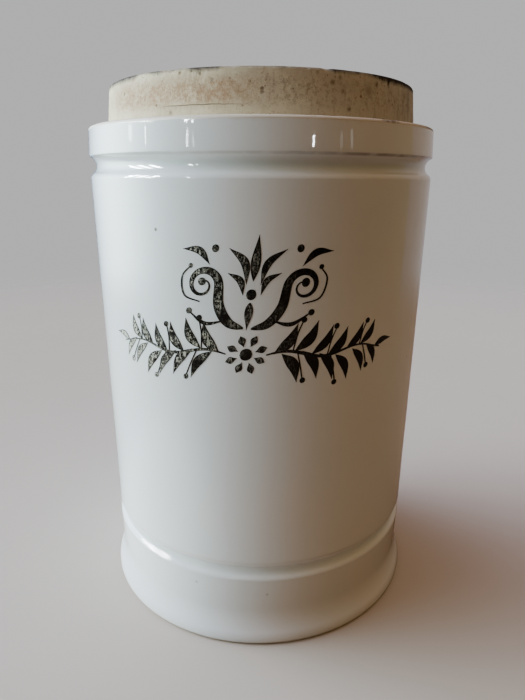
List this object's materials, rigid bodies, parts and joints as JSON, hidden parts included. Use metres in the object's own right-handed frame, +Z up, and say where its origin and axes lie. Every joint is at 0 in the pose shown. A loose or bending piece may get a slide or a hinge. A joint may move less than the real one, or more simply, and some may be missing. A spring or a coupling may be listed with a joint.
{
  "type": "apothecary jar",
  "caption": "Cylindrical glazed porcelain apothecary jar with a flared foot, two turned grooves, a lip ring and a lift-off unglazed plug lid.",
  "frame": {"origin": "centre of the foot, on the plane that the jar stands on", "axes": "+Z up along the jar's axis, -Y towards the side with the painted ornament"},
  "size_m": [0.1024, 0.1024, 0.1536],
  "materials": {
    "glazed_porcelain": "gloss",
    "biscuit": "matte",
    "black_enamel": "gloss"
  },
  "bodies": {
    "jar": {"jar_body": "glazed_porcelain"},
    "lid": {"lid": "biscuit"}
  },
  "joints": [
    {"name": "lid_lift", "type": "slide", "parent": "jar", "child": "lid", "axis": [0, 0, 1], "range_m": [0, 0.06]}
  ]
}
